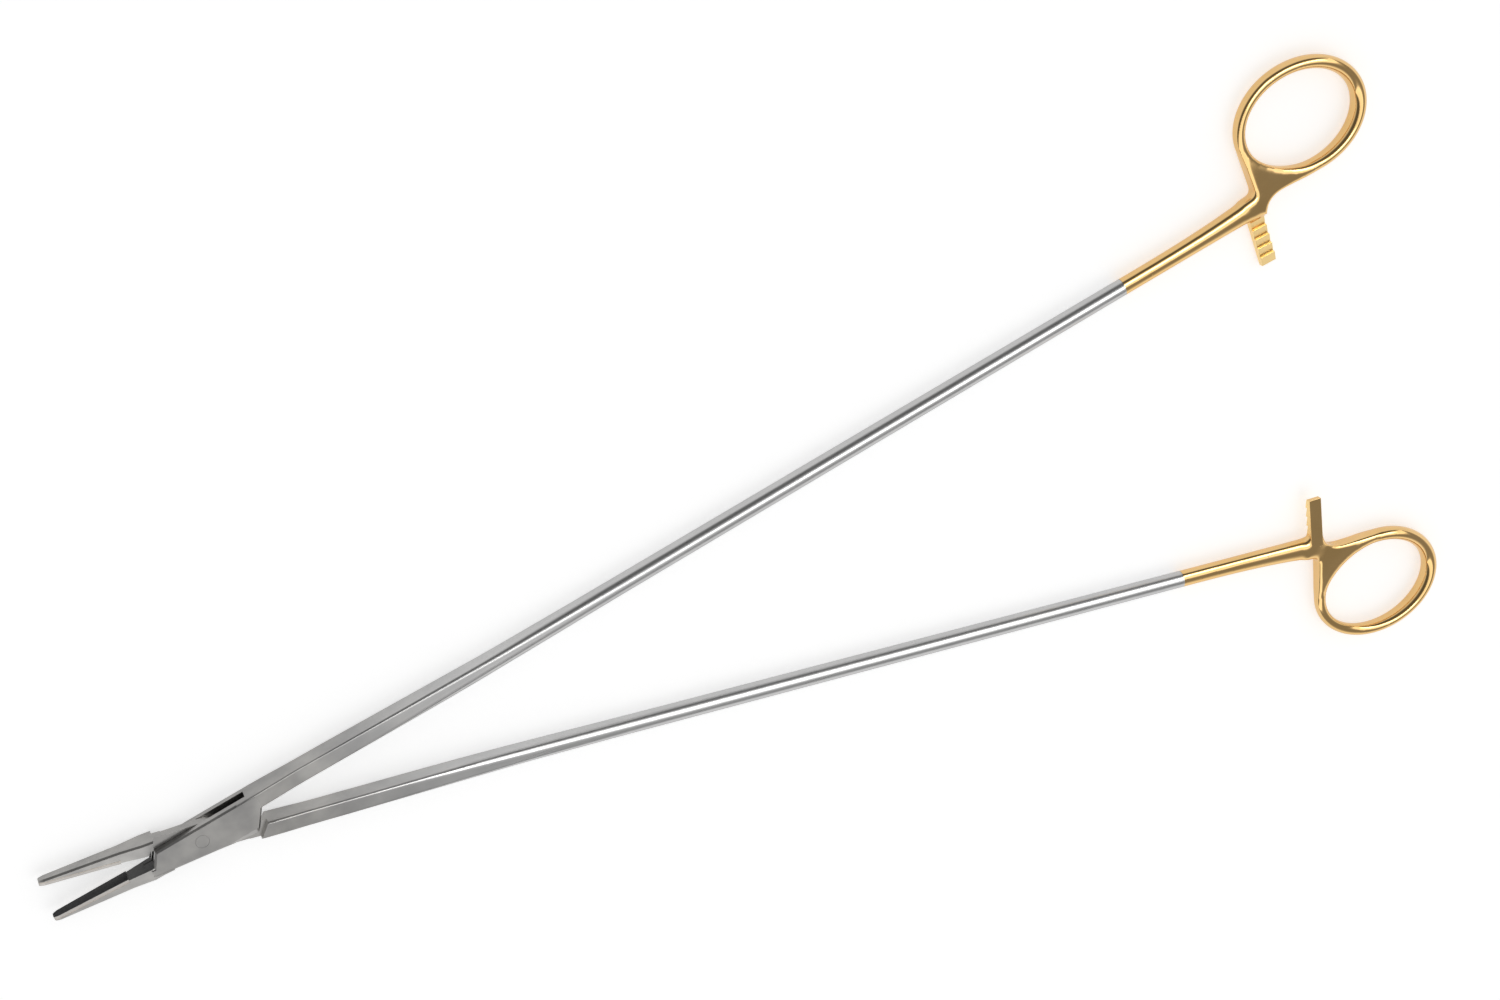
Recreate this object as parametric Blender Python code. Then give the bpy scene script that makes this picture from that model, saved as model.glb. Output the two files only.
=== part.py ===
"""Long needle holder with a box lock, carbide jaw faces and gold-plated ring handles.

Each half is drawn as it stands when the jaws are shut, with the jaw line along X, and is then swung open
about the pivot, which is the Z axis. The box half carries the box lock and its shank lies on the +Y side.
The tongue half passes through the box and is its mirror image. All lengths are in metres.
"""
import math

import bmesh
import bpy
from mathutils import Matrix, Vector

# Pose in which the holder lies: each half is swung this far from the shut position
OPEN_HALF_ANGLE = math.radians(6.8)

# Where the handle parts stand along the instrument, all counted from the ratchet
RATCHET_X = 0.2796
PLATED_LENGTH = 0.0373
BEND_LEAD = 0.0031
RING_REACH = 0.0172

# Box lock
BOX_THICKNESS = 0.0060
BOX_FRONT_TOP = (-0.0098, 0.0030)
BOX_FRONT_FOOT = (-0.0117, -0.0004)
BOX_REAR_TOP = (0.0145, 0.0001)
BOX_REAR_FOOT = (0.0114, -0.0052)
BOX_SIDE_BREAK = (0.0024, -0.0040)
BOX_JAW_WIDTH = 0.0024
BOX_CHAMFER = 0.0004
BOX_SHANK_STUB = 0.0003
FACET_APEX = (0.0026, -0.0040)
FACET_TOP_Y = -0.0036
FACET_DROP = 0.0012
FACET_START = 0.02
FACET_END = 1.4
FRONT_WEB_X = -0.0098
REAR_WEB_X = 0.0124
TONGUE_THICKNESS = 0.0023
TONGUE_SHOULDER_X = 0.0020
TONGUE_SHOULDER_Y = 0.0036
SLIDE_GAP = 0.0001
SHOULDER_GAP = 0.0003

# Pivot pin, blind in the lower cheek
PIN_RADIUS = 0.0015
PIN_FIT = 0.00004
PIN_FLOOR = 0.0006
PIN_SIDES = 32

# Jaws
JAW_TIP_X = -0.0352
JAW_ROOT_X = -0.0080
JAW_TIP_WIDTH = 0.00125
JAW_ROOT_WIDTH = 0.0035
JAW_TIP_HEIGHT = 0.0026
JAW_INSERT_END_HEIGHT = 0.0041
JAW_ROOT_HEIGHT = 0.0056
JAW_SWELL_X = -0.0125
JAW_NOSE_LENGTH = 0.0012
JAW_NOSE_SHARES = (0, 0.15, 0.45, 1)
JAW_NOSE_START = 0.55
JAW_BEVEL = 0.0004

# Carbide inserts and the braze under them
INSERT_END_X = -0.0176
INSERT_THICKNESS = 0.0006
BRAZE_THICKNESS = 0.00015
BRAZE_GAP = 0.00002
GRIP_GAP = 0.0001
GRIP_RELIEF = 0.00025

# Shanks
SHANK_START_X = 0.0100
SHANK_START_Y = 0.00195
SHANK_BOX_END_X = 0.0145
SHANK_STRAIGHT_X = 0.0800
SHANK_ANGLE = math.radians(2.55)
SHANK_OFFSET = 0.00037
SHANK_WIDTH = 0.0037
SHANK_START_HEIGHT = 0.0059
SHANK_NECK_X = 0.0260
SHANK_NECK_HEIGHT = 0.0051
SHANK_ROUND_X = 0.1150
SHANK_ROUND_DIAMETER = 0.00435
SHANK_END_DIAMETER = 0.0041
SHANK_CORNER = 0.00045
SHANK_SIDES = 40
SHANK_NEAR_STEPS = 4
SHANK_FAR_STEPS = 14
SHANK_ROUND_STEPS = 6
PLATING_X = RATCHET_X - PLATED_LENGTH
PLATING_GAP = 0.00005

# Ring handles
RING_CENTRE = (RATCHET_X + RING_REACH, 0.0284)
RING_LONG_RADIUS = 0.0161
RING_SHORT_RADIUS = 0.01264
RING_TILT = math.radians(-4.8)
RING_BAND_WIDTH = 0.0036
RING_BAND_HEIGHT = 0.0048
RING_BAND_TAPER = 0.12
RING_STEPS = 56
RING_BEVEL_STEPS = 4
BEND_START_X = RATCHET_X - BEND_LEAD
BEND_REACH = 0.0070
BEND_STEPS = 8
RING_JOIN_ANGLE = math.radians(240)
WEB_HEIGHT = 0.0036
WEB_EDGE = 0.0012
WEB_CHAMFER = 0.0004
WEB_NEAR_ANGLE = math.radians(190)
WEB_FAR_ANGLE = math.radians(275)
WEB_NEAR_LEAD = 0.0006
WEB_NEAR_FILLET = 0.0023
WEB_FAR_FILLET = 0.0060
WEB_FAR_KNEE = 0.0012
WEB_STEPS = 5

# Ratchet bars
RATCHET_THICKNESS = 0.0021
RATCHET_MESH_GAP = 0.0001
BOX_RATCHET_WIDTH = 0.0039
BOX_RATCHET_TIP_Y = -0.0022
TONGUE_RATCHET_WIDTH = 0.0034
TONGUE_RATCHET_TIP_Y = -0.0003
BOX_TOOTH_COUNT = 5
TONGUE_TOOTH_COUNT = 4
TOOTH_PITCH = 0.00245
TOOTH_NOTCH = 0.0020
TOOTH_DEPTH = 0.0008
TOOTH_OVERRUN = 0.00005

MID_Z = BOX_THICKNESS / 2
BOX_SIDE = 1
TONGUE_SIDE = -1
OVERSHOOT = 0.002
SMOOTH_ANGLE = math.radians(30)
WELD_DISTANCE = 0.000001


def clear_scene():
    for obj in list(bpy.data.objects):
        bpy.data.objects.remove(obj)


def make_collection(name):
    collection = bpy.data.collections.new(name)
    bpy.context.scene.collection.children.link(collection)
    return collection


def make_material(name, colour, metallic, roughness):
    material = bpy.data.materials.new(name)
    material.use_nodes = True
    shader = material.node_tree.nodes["Principled BSDF"]
    shader.inputs["Base Color"].default_value = (*colour, 1)
    shader.inputs["Metallic"].default_value = metallic
    shader.inputs["Roughness"].default_value = roughness
    return material


def add_object(name, data, collection, parent):
    obj = bpy.data.objects.new(name, data)
    obj.parent = parent
    collection.objects.link(obj)
    return obj


def mesh_of(name, mesh_builder):
    """A mesh from bmesh, welded and with its faces turned outwards."""
    bmesh.ops.remove_doubles(mesh_builder, verts=mesh_builder.verts, dist=WELD_DISTANCE)
    bmesh.ops.recalc_face_normals(mesh_builder, faces=mesh_builder.faces)
    mesh = bpy.data.meshes.new(name)
    mesh_builder.to_mesh(mesh)
    mesh_builder.free()
    return mesh


def mesh_from_curve(name, curve):
    """The curve's solid as a closed mesh, with the curve itself removed."""
    guide = bpy.data.objects.new(name, curve)
    bpy.context.scene.collection.objects.link(guide)
    graph = bpy.context.evaluated_depsgraph_get()
    mesh_builder = bmesh.new()
    mesh_builder.from_mesh(bpy.data.meshes.new_from_object(guide.evaluated_get(graph)))
    bpy.data.objects.remove(guide)
    return mesh_of(name, mesh_builder)


def plate_mesh(name, outline, low, high, chamfer=0):
    """A flat outline given as (x, y) points, standing from height low to height high."""
    curve = bpy.data.curves.new(name, "CURVE")
    curve.dimensions = "2D"
    curve.fill_mode = "BOTH"
    curve.extrude = (high - low) / 2 - chamfer
    curve.bevel_depth = chamfer
    curve.bevel_resolution = 0
    curve.offset = -chamfer
    spline = curve.splines.new("POLY")
    spline.points.add(len(outline) - 1)
    for point, (x, y) in zip(spline.points, outline):
        point.co = (x, y, 0, 1)
    spline.use_cyclic_u = True
    mesh = mesh_from_curve(name, curve)
    mesh.transform(Matrix.Translation((0, 0, (low + high) / 2)))
    return mesh


def loft_mesh(name, sections):
    """A closed solid through sections that all have the same number of points."""
    mesh_builder = bmesh.new()
    rings = [[mesh_builder.verts.new(point) for point in section] for section in sections]
    for near, far in zip(rings, rings[1:]):
        for k in range(len(near)):
            after = (k + 1) % len(near)
            mesh_builder.faces.new((near[k], near[after], far[after], far[k]))
    mesh_builder.faces.new(rings[0])
    mesh_builder.faces.new(rings[-1])
    return mesh_of(name, mesh_builder)


def mirrored(outline, side):
    return [(x, side * y) for x, y in outline]


def between(a, b, share):
    return a + (b - a) * share


def stations_between(start, end, steps):
    return [between(start, end, (k + 1) / steps) for k in range(steps)]


def smooth_share(value, start, end):
    share = min(max((value - start) / (end - start), 0), 1)
    return share * share * (3 - 2 * share)


def join(target, other):
    change = target.modifiers.new("join " + other.name, "BOOLEAN")
    change.operation = "UNION"
    change.object = other


def cut(target, other):
    change = target.modifiers.new("cut " + other.name, "BOOLEAN")
    change.operation = "DIFFERENCE"
    change.object = other


class Half:
    """One half of the holder: the empty it swings on, and where its pieces and helpers go."""

    def __init__(self, name, side, parts, helpers):
        self.name = name
        self.side = side
        self.parts = parts
        self.helpers = helpers
        self.swing = bpy.data.objects.new(name + "_swing", None)
        self.swing.rotation_euler.z = side * OPEN_HALF_ANGLE
        parts.objects.link(self.swing)

    def part(self, name, mesh, material):
        mesh.materials.append(material)
        mesh.shade_smooth()
        mesh.set_sharp_from_angle(angle=SMOOTH_ANGLE)
        return add_object(name, mesh, self.parts, self.swing)

    def helper(self, name, mesh):
        obj = add_object(self.name + "_" + name, mesh, self.helpers, self.swing)
        obj.hide_render = True
        obj.display_type = "WIRE"
        return obj


def line_shift(start, end, distance):
    """The line from start to end, moved sideways to its left by a distance."""
    along = Vector(end) - Vector(start)
    aside = Vector((-along.y, along.x)).normalized() * distance
    return Vector(start) + aside, Vector(end) + aside


def stretched(start, end, reach):
    """Both ends of a line moved outwards by reach."""
    along = (Vector(end) - Vector(start)).normalized() * reach
    return tuple(Vector(start) - along), tuple(Vector(end) + along)


def jaw_width(x):
    return between(JAW_TIP_WIDTH, JAW_ROOT_WIDTH, (x - JAW_TIP_X) / (JAW_ROOT_X - JAW_TIP_X))


def jaw_height(x):
    height = between(JAW_TIP_HEIGHT, JAW_INSERT_END_HEIGHT, (x - JAW_TIP_X) / (INSERT_END_X - JAW_TIP_X))
    if x > INSERT_END_X:
        swell = min((x - INSERT_END_X) / (JAW_SWELL_X - INSERT_END_X), 1)
        height = between(JAW_INSERT_END_HEIGHT, JAW_ROOT_HEIGHT, swell)
    from_tip = min((x - JAW_TIP_X) / JAW_NOSE_LENGTH, 1)
    return height * between(JAW_NOSE_START, 1, math.sqrt(max(from_tip, 0)))


def jaw_section(x, inner_y, side):
    """A jaw's section: flat on the grip side at inner_y, bevelled on the outer side."""
    outer_y = -GRIP_GAP / 2 - jaw_width(x)
    bevel_y = outer_y + JAW_BEVEL
    half = jaw_height(x) / 2
    side_half = half - JAW_BEVEL
    profile = (
        (inner_y, half), (bevel_y, half), (outer_y, side_half),
        (outer_y, -side_half), (bevel_y, -half), (inner_y, -half),
    )
    return [(x, side * y, MID_Z + z) for y, z in profile]


def jaw_stations():
    nose = [JAW_TIP_X + JAW_NOSE_LENGTH * share for share in JAW_NOSE_SHARES]
    return nose + [INSERT_END_X, JAW_SWELL_X, JAW_ROOT_X]


def jaw_mesh(half):
    inner_y = -GRIP_GAP / 2 - GRIP_RELIEF
    return loft_mesh(half.name + "_jaw", [jaw_section(x, inner_y, half.side) for x in jaw_stations()])


def strip_mesh(name, first_y, last_y, side, end_x, grow):
    """A strip along the jaw from its tip to end_x, between two depths from the jaw line."""
    stations = [x for x in jaw_stations() if x < end_x] + [end_x]
    sections = []
    for k, x in enumerate(stations):
        half = jaw_height(x) / 2 + grow
        place = x - grow if k == 0 else x
        profile = ((first_y, half), (last_y, half), (last_y, -half), (first_y, -half))
        sections.append([(place, side * y, MID_Z + z) for y, z in profile])
    return loft_mesh(name, sections)


def shank_centre_y(x):
    """Runs close beside the other shank at the box, then straight at the shank's own angle."""
    line = SHANK_OFFSET + math.tan(SHANK_ANGLE) * x
    start_line = SHANK_OFFSET + math.tan(SHANK_ANGLE) * SHANK_START_X
    fade = 1 - smooth_share(x, SHANK_START_X, SHANK_STRAIGHT_X)
    return line + (SHANK_START_Y - start_line) * fade


def shank_section(x, side):
    """From an upright rectangle with small rounded corners at the box to a round bar."""
    rounding = smooth_share(x, SHANK_NECK_X, SHANK_ROUND_X)
    taper = smooth_share(x, SHANK_ROUND_X, PLATING_X)
    round_size = between(SHANK_ROUND_DIAMETER, SHANK_END_DIAMETER, taper)
    neck = smooth_share(x, SHANK_BOX_END_X, SHANK_NECK_X)
    height = between(between(SHANK_START_HEIGHT, SHANK_NECK_HEIGHT, neck), round_size, rounding)
    width = between(SHANK_WIDTH, round_size, rounding)
    corner = between(SHANK_CORNER, round_size / 2, rounding)
    points = []
    for k in range(SHANK_SIDES):
        angle = 2 * math.pi * (k + 0.5) / SHANK_SIDES
        across = corner * math.cos(angle) + math.copysign(width / 2 - corner, math.cos(angle))
        upright = corner * math.sin(angle) + math.copysign(height / 2 - corner, math.sin(angle))
        points.append((x, side * (shank_centre_y(x) + across), MID_Z + upright))
    return points


def shank_mesh(half):
    stations = [SHANK_START_X, SHANK_BOX_END_X]
    stations += stations_between(SHANK_BOX_END_X, SHANK_NECK_X, SHANK_NEAR_STEPS)
    stations += stations_between(SHANK_NECK_X, SHANK_ROUND_X, SHANK_FAR_STEPS)
    stations += stations_between(SHANK_ROUND_X, PLATING_X - PLATING_GAP, SHANK_ROUND_STEPS)
    return loft_mesh(half.name + "_shank", [shank_section(x, half.side) for x in stations])


def box_outline():
    """The box seen from above, with stubs that run into the jaw and into the shank."""
    jaw_stub_x = BOX_FRONT_FOOT[0] - OVERSHOOT / 2
    shank_stub_x = BOX_REAR_TOP[0] + BOX_SHANK_STUB
    shank_outer = shank_centre_y(shank_stub_x) + SHANK_WIDTH / 2
    shank_inner = shank_centre_y(shank_stub_x) - SHANK_WIDTH / 2
    return [
        BOX_FRONT_TOP, BOX_FRONT_FOOT,
        (jaw_stub_x, -GRIP_GAP / 2 - GRIP_RELIEF), (jaw_stub_x, -BOX_JAW_WIDTH),
        BOX_SIDE_BREAK, BOX_REAR_FOOT, BOX_REAR_TOP,
        (shank_stub_x, shank_inner), (shank_stub_x, shank_outer),
    ]


def facet_mesh(name, face_z, up):
    """A wedge that takes the box's long edge away, deeper towards the rear end, on the face at face_z."""
    sections = []
    for share in (FACET_START, FACET_END):
        x = between(FACET_APEX[0], BOX_REAR_FOOT[0], share)
        inner = Vector((x, between(FACET_APEX[1], FACET_TOP_Y, share), face_z))
        outer = Vector((x, between(FACET_APEX[1], BOX_REAR_FOOT[1], share), face_z - up * FACET_DROP * share))
        above = inner * 2 - outer
        below = outer * 2 - inner
        clear = (x, below.y, face_z + up * OVERSHOOT)
        sections.append([above, below, clear])
    return loft_mesh(name, sections)


def slot_outline():
    """The way through the box for the tongue, open at the front left and the rear right."""
    far = BOX_THICKNESS * 2
    front = BOX_FRONT_FOOT[0] - OVERSHOOT
    rear = BOX_REAR_TOP[0] + OVERSHOOT
    return [
        (front, BOX_FRONT_FOOT[1]), (FRONT_WEB_X, BOX_FRONT_FOOT[1]), (FRONT_WEB_X, -far),
        (rear, -far), (rear, BOX_REAR_TOP[1]), (REAR_WEB_X, BOX_REAR_TOP[1]),
        (REAR_WEB_X, far), (front, far),
    ]


def tongue_outline():
    """The thin middle of the tongue half, clear of the box's two webs when the jaws are shut."""
    front = BOX_FRONT_FOOT[0] - OVERSHOOT
    rear = BOX_REAR_TOP[0] + OVERSHOOT
    inner = GRIP_GAP / 2 + GRIP_RELIEF
    shank_inner = shank_centre_y(rear) - SHANK_WIDTH / 2
    shank_outer = shank_centre_y(rear) + SHANK_WIDTH / 2 - SHOULDER_GAP
    return [
        (front, inner), (front, jaw_width(front)), (TONGUE_SHOULDER_X, TONGUE_SHOULDER_Y),
        (REAR_WEB_X - SHOULDER_GAP, -shank_inner), (rear, -shank_inner), (rear, -shank_outer),
        (-TONGUE_SHOULDER_X, -TONGUE_SHOULDER_Y), (FRONT_WEB_X + SHOULDER_GAP, inner),
    ]


def shoulder_outline():
    """Where the tongue half is thinned: between the box's front end and its rear end, with clearance."""
    front = line_shift(BOX_FRONT_TOP, BOX_FRONT_FOOT, -SHOULDER_GAP)
    rear = line_shift(BOX_REAR_FOOT, BOX_REAR_TOP, -SHOULDER_GAP)
    reach = BOX_THICKNESS
    front_top, front_foot = stretched(*front, reach)
    rear_foot, rear_top = stretched(*rear, reach)
    return [front_top, front_foot, rear_foot, rear_top]


def pin_mesh(name, radius, low, high):
    mesh_builder = bmesh.new()
    bmesh.ops.create_cone(
        mesh_builder, cap_ends=True, segments=PIN_SIDES, radius1=radius, radius2=radius, depth=high - low,
    )
    bmesh.ops.translate(mesh_builder, verts=mesh_builder.verts, vec=(0, 0, (low + high) / 2))
    return mesh_of(name, mesh_builder)


def make_forging(half, body_mesh, steel):
    forging = half.part(half.name, body_mesh, steel)
    join(forging, half.helper("jaw", jaw_mesh(half)))
    join(forging, half.helper("shank", shank_mesh(half)))
    return forging


def make_box_half(half, steel):
    box = make_forging(half, plate_mesh("box", box_outline(), 0, BOX_THICKNESS, BOX_CHAMFER), steel)
    cut(box, half.helper("facet_over", facet_mesh("facet_over", BOX_THICKNESS, 1)))
    cut(box, half.helper("facet_under", facet_mesh("facet_under", 0, -1)))
    slot_half = TONGUE_THICKNESS / 2 + SLIDE_GAP
    slot = plate_mesh("slot", slot_outline(), MID_Z - slot_half, MID_Z + slot_half)
    cut(box, half.helper("slot", slot))
    hole_top = BOX_THICKNESS + OVERSHOOT
    cut(box, half.helper("pin_hole", pin_mesh("pin_hole", PIN_RADIUS + PIN_FIT, PIN_FLOOR, hole_top)))
    return box


def make_tongue_half(half, steel):
    low = MID_Z - TONGUE_THICKNESS / 2
    high = MID_Z + TONGUE_THICKNESS / 2
    tongue = make_forging(half, plate_mesh("tongue", tongue_outline(), low, high), steel)
    under = plate_mesh("under_cheek", shoulder_outline(), -OVERSHOOT, low)
    over = plate_mesh("over_cheek", shoulder_outline(), high, BOX_THICKNESS + OVERSHOOT)
    cut(tongue, half.helper("under_cheek", under))
    cut(tongue, half.helper("over_cheek", over))
    cut(tongue, half.helper("pin_hole", pin_mesh("pin_hole", PIN_RADIUS + PIN_FIT, 0, BOX_THICKNESS)))
    return tongue


def make_grip(half, forging, carbide, silver):
    """The carbide insert in the jaw's grip face, and the layer of braze that holds it."""
    face_y = -GRIP_GAP / 2
    back_y = face_y - INSERT_THICKNESS
    seat_y = back_y - BRAZE_GAP - BRAZE_THICKNESS
    pocket_y = seat_y - BRAZE_GAP
    side = half.side
    pocket = strip_mesh("pocket", OVERSHOOT, pocket_y, side, INSERT_END_X + BRAZE_GAP, OVERSHOOT)
    cut(forging, half.helper("insert_pocket", pocket))
    insert = strip_mesh("insert", face_y, back_y, side, INSERT_END_X, 0)
    braze = strip_mesh("braze", back_y - BRAZE_GAP, seat_y, side, INSERT_END_X, 0)
    jaw = half.name.replace("_half", "_jaw")
    half.part(jaw + "_insert", insert, carbide)
    half.part(jaw + "_braze", braze, silver)


def ring_point(angle, grow=0):
    """A point of the ring's middle line, or of that line moved outwards by grow."""
    x = (RING_LONG_RADIUS + grow) * math.cos(angle)
    y = (RING_SHORT_RADIUS + grow) * math.sin(angle)
    return (
        RING_CENTRE[0] + x * math.cos(RING_TILT) - y * math.sin(RING_TILT),
        RING_CENTRE[1] + x * math.sin(RING_TILT) + y * math.cos(RING_TILT),
    )


def ring_mesh(half):
    curve = bpy.data.curves.new(half.name + "_ring", "CURVE")
    curve.dimensions = "3D"
    curve.bevel_depth = RING_BAND_WIDTH / 2
    curve.bevel_resolution = RING_BEVEL_STEPS
    spline = curve.splines.new("POLY")
    spline.points.add(RING_STEPS - 1)
    for k, point in enumerate(spline.points):
        angle = 2 * math.pi * k / RING_STEPS
        x, y = ring_point(angle)
        point.co = (x, half.side * y, 0, 1)
        point.radius = 1 - RING_BAND_TAPER * (1 - math.cos(angle))
    spline.use_cyclic_u = True
    mesh = mesh_from_curve(half.name + "_ring", curve)
    mesh.transform(Matrix.Diagonal((1, 1, RING_BAND_HEIGHT / RING_BAND_WIDTH, 1)))
    mesh.transform(Matrix.Translation((0, 0, MID_Z)))
    return mesh


def handle_path():
    """Along the shank from the plating line, then bending up into the ring."""
    start = Vector((PLATING_X, shank_centre_y(PLATING_X)))
    bend = Vector((BEND_START_X, shank_centre_y(BEND_START_X)))
    ring = Vector(ring_point(RING_JOIN_ANGLE))
    lead = bend + Vector((math.cos(SHANK_ANGLE), math.sin(SHANK_ANGLE))) * BEND_REACH
    arrive = ring + (Vector(RING_CENTRE) - ring).normalized() * -BEND_REACH / 2
    path = [start, between(start, bend, 0.5)]
    for k in range(BEND_STEPS + 1):
        share = k / BEND_STEPS
        rest = 1 - share
        path.append(
            bend * rest**3 + lead * (3 * rest**2 * share) + arrive * (3 * rest * share**2) + ring * share**3
        )
    return path


def neck_mesh(half):
    """The plated end of the shank, as a round bar along the handle's path."""
    path = handle_path()
    sections = []
    for k, point in enumerate(path):
        if k == 0:
            sections.append(shank_section(PLATING_X, half.side))
            continue
        along = (path[min(k + 1, len(path) - 1)] - path[k - 1]).normalized()
        aside = Vector((-along.y, along.x))
        section = []
        for step in range(SHANK_SIDES):
            angle = 2 * math.pi * (step + 0.5) / SHANK_SIDES
            place = point + aside * (math.cos(angle) * SHANK_END_DIAMETER / 2)
            height = MID_Z + math.sin(angle) * SHANK_END_DIAMETER / 2
            section.append((place.x, half.side * place.y, height))
        sections.append(section)
    return loft_mesh(half.name + "_neck", sections)


def fillet(start, knee, end):
    """Points on a curve that leaves start towards knee and reaches end from it."""
    shares = [k / WEB_STEPS for k in range(WEB_STEPS + 1)]
    return [between(between(start, knee, share), between(knee, end, share), share) for share in shares]


def web_mesh(half, width):
    """The flat flare that fills the corners between shank, ratchet bar and ring."""
    axis_y = shank_centre_y(RATCHET_X)
    neck_top = axis_y + SHANK_END_DIAMETER / 2
    near_x = RATCHET_X + WEB_NEAR_LEAD
    right = RATCHET_X + width / 2
    far = Vector(ring_point(WEB_FAR_ANGLE, WEB_EDGE))
    inner = [between(WEB_FAR_ANGLE, WEB_NEAR_ANGLE, k / WEB_STEPS) for k in range(WEB_STEPS + 1)]
    outline = [Vector((near_x - WEB_NEAR_FILLET, axis_y))]
    outline += fillet(
        Vector((right, axis_y - SHANK_END_DIAMETER / 2)),
        Vector((right + WEB_FAR_KNEE, far.y)),
        Vector((right + WEB_FAR_FILLET, far.y)),
    )
    outline += [far] + [ring_point(angle) for angle in inner] + [ring_point(WEB_NEAR_ANGLE, WEB_EDGE)]
    outline += fillet(
        Vector((near_x, neck_top + WEB_NEAR_FILLET)),
        Vector((near_x, neck_top)),
        Vector((near_x - WEB_NEAR_FILLET, neck_top)),
    )
    low = MID_Z - WEB_HEIGHT / 2
    return plate_mesh(half.name + "_web", mirrored(outline, half.side), low, low + WEB_HEIGHT, WEB_CHAMFER)


def ratchet_heights(side):
    """The bar on the box half lies below the middle plane, and the other above it."""
    near = MID_Z - side * RATCHET_MESH_GAP
    far = near - side * RATCHET_THICKNESS
    return near, far


def ratchet_mesh(half, width, tip_y):
    left = RATCHET_X - width / 2
    right = RATCHET_X + width / 2
    root_y = shank_centre_y(RATCHET_X)
    bar = [(left, tip_y), (right, tip_y), (right, root_y), (left, root_y)]
    near, far = ratchet_heights(half.side)
    return plate_mesh(half.name + "_ratchet", mirrored(bar, half.side), min(near, far), max(near, far))


def tooth_gap_mesh(half, width, tip_y, number):
    """The notch before one ratchet tooth, whose slope faces the tip. The first one bevels the tip itself."""
    near, _ = ratchet_heights(half.side)
    start = tip_y - TOOTH_OVERRUN + number * TOOTH_PITCH
    end = start + TOOTH_NOTCH
    floor_z = near - half.side * TOOTH_DEPTH
    clear_z = near + half.side * OVERSHOOT
    notch = ((start, floor_z), (end, near), (end, clear_z), (start, clear_z))
    sections = []
    for x in (RATCHET_X - width, RATCHET_X + width):
        sections.append([(x, half.side * y, z) for y, z in notch])
    return loft_mesh("%s_tooth_gap_%d" % (half.name, number + 1), sections)


def make_handle(half, width, tip_y, tooth_count, gold):
    """The plated end of a half: ring, shank end, flare and toothed ratchet bar in one piece."""
    handle = half.part(half.name + "_handle", ring_mesh(half), gold)
    join(handle, half.helper("neck", neck_mesh(half)))
    join(handle, half.helper("web", web_mesh(half, width)))
    join(handle, half.helper("ratchet", ratchet_mesh(half, width, tip_y)))
    for number in range(tooth_count):
        gap = tooth_gap_mesh(half, width, tip_y, number)
        cut(handle, half.helper("tooth_gap_%d" % (number + 1), gap))
    return handle


def main():
    clear_scene()
    parts = make_collection("needle_holder")
    helpers = make_collection("helpers")
    steel = make_material("satin_steel", (0.56, 0.55, 0.53), 1, 0.32)
    gold = make_material("gold_plate", (0.86, 0.62, 0.27), 1, 0.12)
    carbide = make_material("carbide", (0.07, 0.07, 0.075), 0.9, 0.5)
    silver = make_material("braze", (0.62, 0.56, 0.42), 1, 0.3)
    pin_steel = make_material("pin_steel", (0.50, 0.50, 0.49), 1, 0.35)
    box_half = Half("box_half", BOX_SIDE, parts, helpers)
    tongue_half = Half("tongue_half", TONGUE_SIDE, parts, helpers)
    box = make_box_half(box_half, steel)
    tongue = make_tongue_half(tongue_half, steel)
    make_grip(box_half, box, carbide, silver)
    make_grip(tongue_half, tongue, carbide, silver)
    pin = pin_mesh("pivot_pin", PIN_RADIUS, PIN_FLOOR + PIN_FIT, BOX_THICKNESS)
    box_half.part("pivot_pin", pin, pin_steel)
    make_handle(box_half, BOX_RATCHET_WIDTH, BOX_RATCHET_TIP_Y, BOX_TOOTH_COUNT, gold)
    make_handle(tongue_half, TONGUE_RATCHET_WIDTH, TONGUE_RATCHET_TIP_Y, TONGUE_TOOTH_COUNT, gold)


main()
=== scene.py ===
"""Looks of the long needle holder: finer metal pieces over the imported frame, finishes, light and camera.

Each half is worked out as it stands with the jaws shut, in the frame that part.py uses: X runs from the
pivot to the rings, the box half's shank lies on the +Y side and heights count from the middle plane.
All lengths are in metres.
"""
import math
from collections import namedtuple

import bmesh
import bpy
import numpy as np
from mathutils import Matrix, Vector


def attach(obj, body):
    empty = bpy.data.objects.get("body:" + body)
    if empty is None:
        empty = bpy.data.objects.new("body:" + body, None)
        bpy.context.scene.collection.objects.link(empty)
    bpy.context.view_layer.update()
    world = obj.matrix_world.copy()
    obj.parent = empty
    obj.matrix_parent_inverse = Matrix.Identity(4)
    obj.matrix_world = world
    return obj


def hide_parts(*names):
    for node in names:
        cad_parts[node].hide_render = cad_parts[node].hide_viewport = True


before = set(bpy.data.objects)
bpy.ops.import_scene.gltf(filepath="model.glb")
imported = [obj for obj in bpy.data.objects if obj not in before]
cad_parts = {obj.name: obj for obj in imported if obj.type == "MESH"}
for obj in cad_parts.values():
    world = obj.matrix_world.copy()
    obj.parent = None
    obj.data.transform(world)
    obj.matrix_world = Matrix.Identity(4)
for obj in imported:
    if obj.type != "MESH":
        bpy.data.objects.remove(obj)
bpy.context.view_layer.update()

# The camera, as fitted to the photograph
CAMERA_PLACE = (0.00912, 0.28366, 0.51382)
CAMERA_TARGET = (0.1397, 0.0251, 0.0030)
CAMERA_ROLL = math.radians(134.07)
CAMERA_LENS = 62.4
CAMERA_SENSOR = 36.0

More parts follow.
